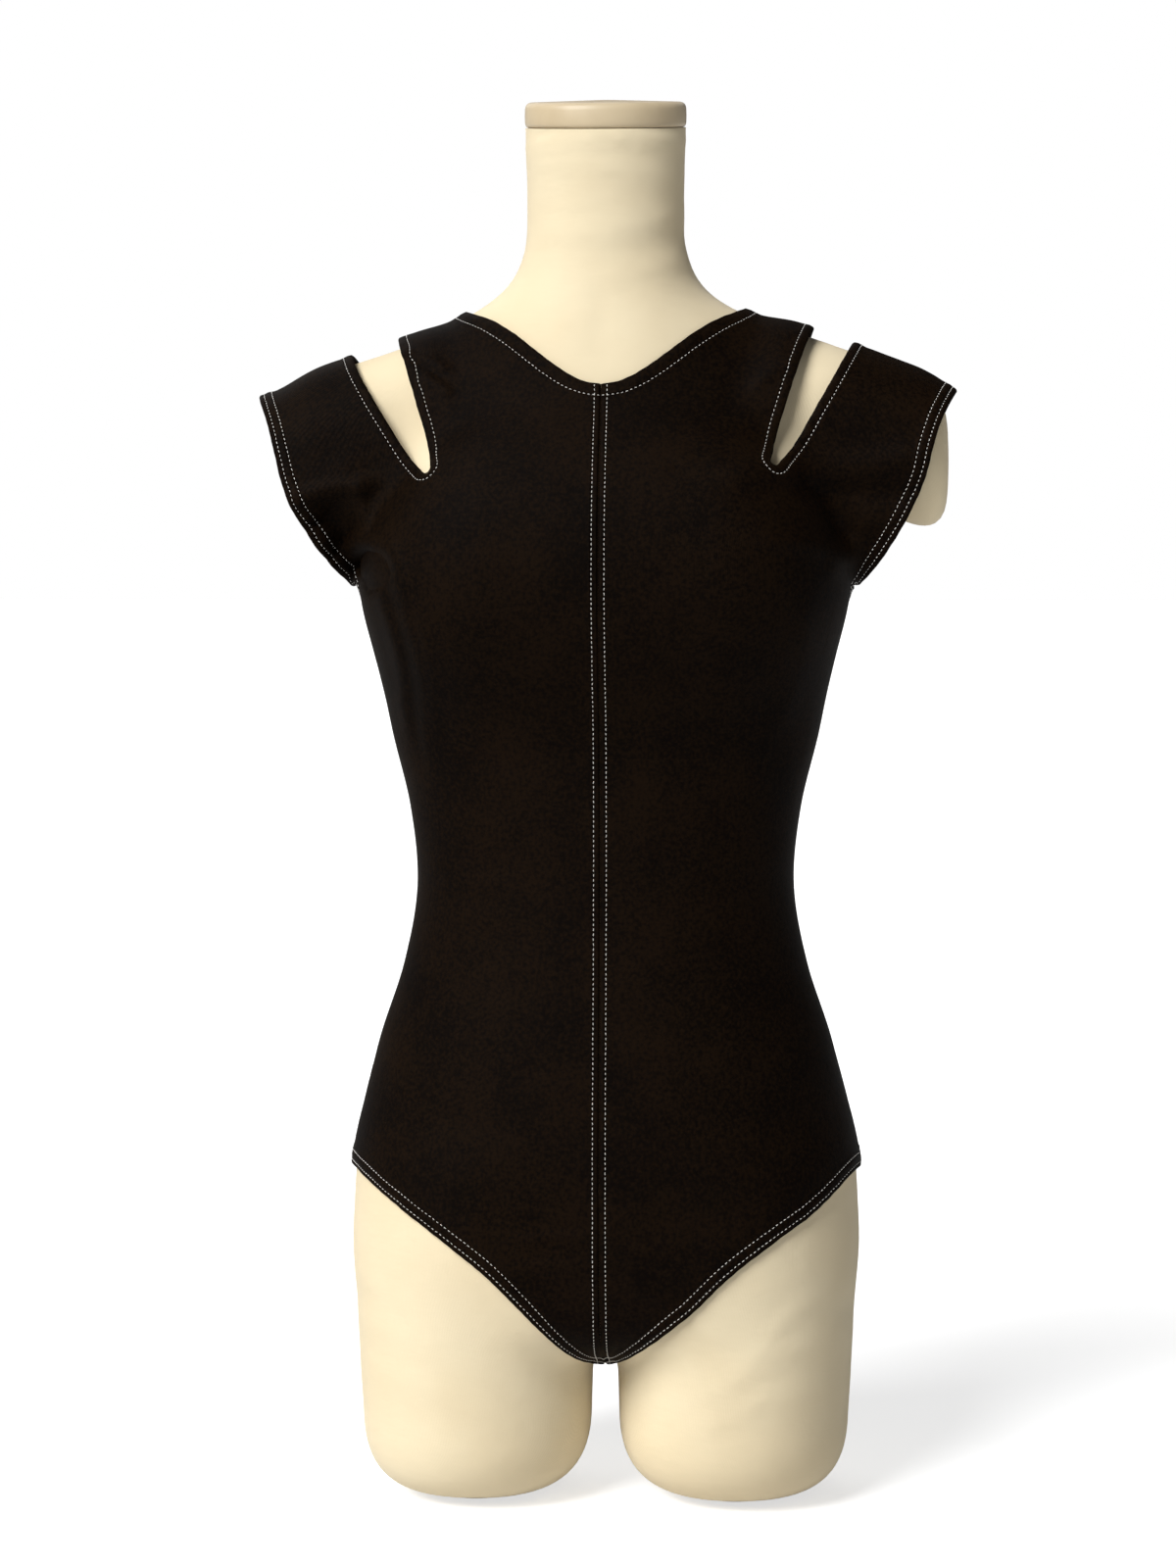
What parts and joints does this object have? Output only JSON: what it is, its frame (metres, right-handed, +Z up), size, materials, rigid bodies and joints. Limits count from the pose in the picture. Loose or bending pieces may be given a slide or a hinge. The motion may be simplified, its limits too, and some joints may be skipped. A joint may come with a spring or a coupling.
{
  "type": "leotard on a limbless dress form",
  "caption": "Short-sleeved stretch leotard with open shoulder slits, fitted on a covered dress form with a neck cap, arm stubs and thigh stubs.",
  "frame": {"origin": "centre of the footprint of the whole object, on the surface that it stands on", "axes": "+Z up along the body, front of the leotard facing -Y, the wearer's left at +X"},
  "size_m": [0.4455, 0.2332, 0.892],
  "materials": {
    "jersey": "black stretch jersey, matt with a faint sheen",
    "form_cover": "cream fine knit stretched over the form, matt",
    "neck_cap": "beige satin cloth over a board, slight sheen",
    "base_board": "dark matt board",
    "thread": "white polyester sewing thread"
  },
  "bodies": {
    "root": {"front_left": "jersey", "front_right": "jersey", "back": "jersey", "form_body": "form_cover", "form_neck_cap": "neck_cap", "form_base_left": "base_board", "form_base_right": "base_board"}
  },
  "joints": []
}
